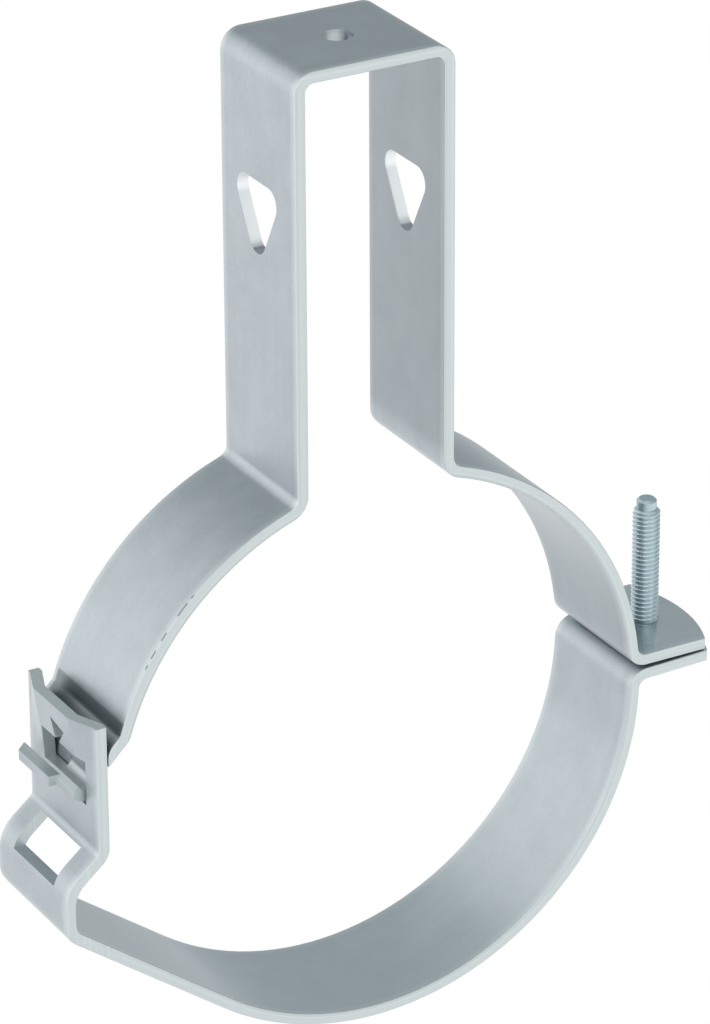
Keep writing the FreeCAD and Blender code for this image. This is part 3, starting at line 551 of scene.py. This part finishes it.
bpy.ops.object.select_all(action="DESELECT")
bpy.ops.mesh.primitive_grid_add(x_subdivisions=AROUND, y_subdivisions=len(rings) - 1, size=2)
rod = bpy.context.object
rod.name = "screw_rod"
for vertex in rod.data.vertices:
    turn = (vertex.co.x + 1) / 2
    height = rings[round((vertex.co.y + 1) / 2 * (len(rings) - 1))]
    reach = POINT[height] if height in POINT else rod_radius(height, turn)
    angle = turn * 2 * math.pi
    vertex.co = AXIS + Vector((reach * math.cos(angle), reach * math.sin(angle), height))
print("rod:", len(rings), "rings of points")

# %% Closed rod
bpy.ops.object.mode_set(mode="EDIT")
bpy.ops.mesh.select_all(action="SELECT")
bpy.ops.mesh.remove_doubles(threshold=1e-7)
bpy.ops.mesh.select_all(action="DESELECT")
bpy.ops.mesh.select_non_manifold()
bpy.ops.mesh.edge_face_add()
bpy.ops.mesh.select_all(action="SELECT")
bpy.ops.mesh.normals_make_consistent(inside=False)
bpy.ops.object.mode_set(mode="OBJECT")
print("rod:", len(rod.data.vertices), "points,", len(rod.data.polygons), "faces")

# %% [markdown]
# The head is a low hexagon, and a six-sided cylinder is the quickest start. Its foot is inset, and
# the outer rim is then lifted, which leaves the chamfer that turning gives a real head. A Bevel
# modifier rounds the sharp edges that are left, so that they catch the light.

# %% Head
FLATS = 10.0 * MM
CORNER = FLATS / math.sqrt(3)
bpy.ops.object.select_all(action="DESELECT")
bpy.ops.mesh.primitive_cylinder_add(
    vertices=6, radius=CORNER, depth=HEAD_TOP - HEAD_FOOT,
    location=(AXIS.x, AXIS.y, (HEAD_TOP + HEAD_FOOT) / 2), rotation=(0, 0, math.radians(30)))
head = bpy.context.object
head.name = "screw_head"
bpy.ops.object.transform_apply(location=True, rotation=True, scale=True)
print("head:", round(2 * CORNER * 1000, 2), "mm over its corners")


# %% Chamfer and rounding
def select_faces(piece, test):
    """Select the faces of a piece that pass a test on their normal."""
    bpy.ops.object.mode_set(mode="OBJECT")
    for part in (piece.data.vertices, piece.data.edges, piece.data.polygons):
        part.foreach_set("select", [False] * len(part))
    for face in piece.data.polygons:
        face.select = test(face.normal)
    bpy.ops.object.mode_set(mode="EDIT")
    bpy.ops.mesh.select_mode(type="FACE")


CHAMFER_WIDTH = 0.55 * MM
CHAMFER_HEIGHT = 0.35 * MM
ROUNDING = 0.12 * MM
NEARBY = 0.1 * MM
select_faces(head, lambda normal: normal.z < -0.9)
bpy.ops.mesh.inset(thickness=CHAMFER_WIDTH)
bpy.ops.object.mode_set(mode="OBJECT")
for vertex in head.data.vertices:
    outward = (vertex.co - AXIS).to_2d().length
    if vertex.co.z < HEAD_FOOT + NEARBY and outward > CORNER - NEARBY:
        vertex.co.z += CHAMFER_HEIGHT
rounding = head.modifiers.new("rounding", "BEVEL")
rounding.width = ROUNDING
rounding.segments = 2
bpy.ops.object.modifier_apply(modifier="rounding")
print("head:", len(head.data.polygons), "faces")

# %% [markdown]
# ## Zinc on the screw
#
# The screw has the same kind of coat, but on turned steel it is bluer and a little glossier. The
# roots of the thread get painted shade and are made rougher. They are found by their distance from
# the screw's axis, with a Mapping node that puts the pattern's centre on that axis.

# %% Screw material
# Painted shade in the roots of the thread.
ROOT_SHADE_TONE = (0.52, 0.63, 0.67, 1)
ROUGHER_ROOT = 0.22
screw_steel, screw_tree, shader, place, colour, roughness = zinc_material(
    "zinc_screw", dark=(0.72, 0.84, 0.88, 1), light=(0.90, 0.98, 1.0, 1),
    lines=0.0, bloom=0.6, rough=0.24, metal=0.9)
centred = add(screw_tree, "ShaderNodeMapping")
centred.inputs["Location"].default_value = (-AXIS.x, -AXIS.y, 0)
screw_tree.links.new(place, centred.inputs["Vector"])
apart = add(screw_tree, "ShaderNodeSeparateXYZ")
screw_tree.links.new(centred.outputs[0], apart.inputs[0])
squares = [product(screw_tree, apart.outputs[name], apart.outputs[name]) for name in "XY"]
from_axis = math_node(screw_tree, "SQRT", math_node(screw_tree, "ADD", *squares))
crest = ramp_value(screw_tree, from_axis, ROOT, CREST)
colour = mix_colour(screw_tree, crest, ROOT_SHADE_TONE, colour)
screw_tree.links.new(colour, shader.inputs["Base Color"])
root_rough = ramp_value(screw_tree, from_axis, ROOT, CREST, ROUGHER_ROOT, 0.0)
screw_tree.links.new(math_node(screw_tree, "ADD", roughness, root_rough), shader.inputs["Roughness"])
print("screw material:", len(screw_tree.nodes), "nodes")

# %% One screw
bpy.ops.object.select_all(action="DESELECT")
rod.select_set(True)
head.select_set(True)
bpy.context.view_layer.objects.active = rod
bpy.ops.object.join()
screw = bpy.context.object
screw.name = "threaded_screw"
screw.data.materials.clear()
screw.data.materials.append(screw_steel)
bpy.ops.object.shade_smooth_by_angle(angle=math.radians(35))
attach(screw, "clamp_screw")
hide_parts("clamp_screw")
print("screw:", len(screw.data.polygons), "faces")
